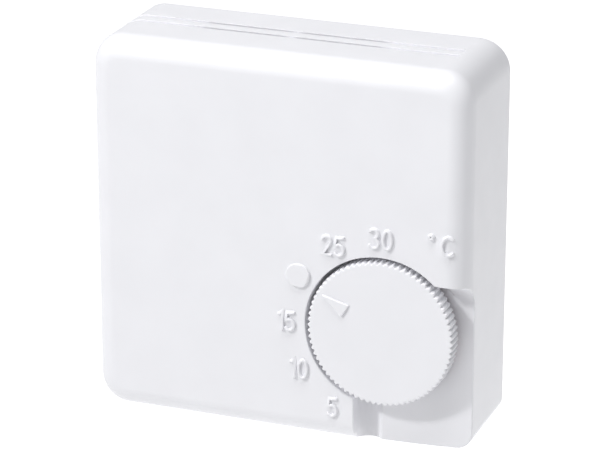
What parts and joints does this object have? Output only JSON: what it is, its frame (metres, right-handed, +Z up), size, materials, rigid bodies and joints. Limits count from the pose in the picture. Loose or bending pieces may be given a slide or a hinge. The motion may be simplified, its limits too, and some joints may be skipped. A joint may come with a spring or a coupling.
{
  "type": "wall thermostat",
  "caption": "Square white surface-mounted room thermostat with a knurled setting knob in a set-back lower right corner, air slots and a bimetal switch inside.",
  "frame": {"origin": "centre of the back plate's wall side, on the wall plane", "axes": "+X to the viewer's right, +Y into the wall, +Z up; the front faces -Y"},
  "size_m": [0.075, 0.0255, 0.075],
  "materials": {
    "white_shell": "fine satin",
    "white_knob": "satin",
    "white_base": "satin",
    "zinc_steel": "zinc plated",
    "spring_steel": "bright",
    "orange_plastic": "satin",
    "blue_plastic": "satin",
    "red_plastic": "satin",
    "cream_plastic": "satin",
    "brass": "bright",
    "bimetal": "rolled",
    "silver": "polished",
    "iron": "dull",
    "ferrite": "dull",
    "resistor_body": "lacquered",
    "tin_wire": "tinned",
    "grey_plastic": "satin"
  },
  "bodies": {
    "housing": {"front_cover": "white_shell", "cover_screw": "zinc_steel", "rear_base": "white_base", "lever_pivot_pin": "zinc_steel", "lever_spring": "spring_steel", "snap_magnet": "ferrite", "contact_bracket": "brass", "fixed_contact": "silver", "feedback_resistor": "resistor_body", "resistor_leads": "tin_wire", "terminal_block": "grey_plastic", "terminal_cages": "brass", "terminal_screws": "zinc_steel", "live_link": "brass", "load_link": "brass", "neutral_link": "brass"},
    "knob": {"setting_knob": "white_knob", "setting_cam": "orange_plastic", "min_limit_ring": "blue_plastic", "max_limit_ring": "red_plastic"},
    "lever": {"cam_lever": "cream_plastic", "calibration_screw": "brass", "bimetal_clamp": "zinc_steel", "bimetal_rivets": "zinc_steel"},
    "bimetal": {"bimetal_strip": "bimetal", "moving_contact": "silver", "armature": "iron"}
  },
  "joints": [
    {"name": "knob_turn", "type": "hinge", "parent": "housing", "child": "knob", "pos_m": [0.0209, -0.012, -0.0142], "axis": [0, 1, 0], "range_deg": [-90, 60]},
    {"name": "lever_tilt", "type": "hinge", "parent": "housing", "child": "lever", "pos_m": [0.0069, -0.01, -0.0052], "axis": [0, 1, 0], "range_deg": [-2.2, 3.2]},
    {"name": "bimetal_flex", "type": "hinge", "parent": "lever", "child": "bimetal", "pos_m": [0.012, -0.01, 0.0243], "axis": [0, 1, 0], "range_deg": [-1, 1], "stiffness_Nm_per_rad": 0.2}
  ],
  "couplings": [
    {"joint": "lever_tilt", "follows": "knob_turn", "ratio": -0.032714}
  ]
}
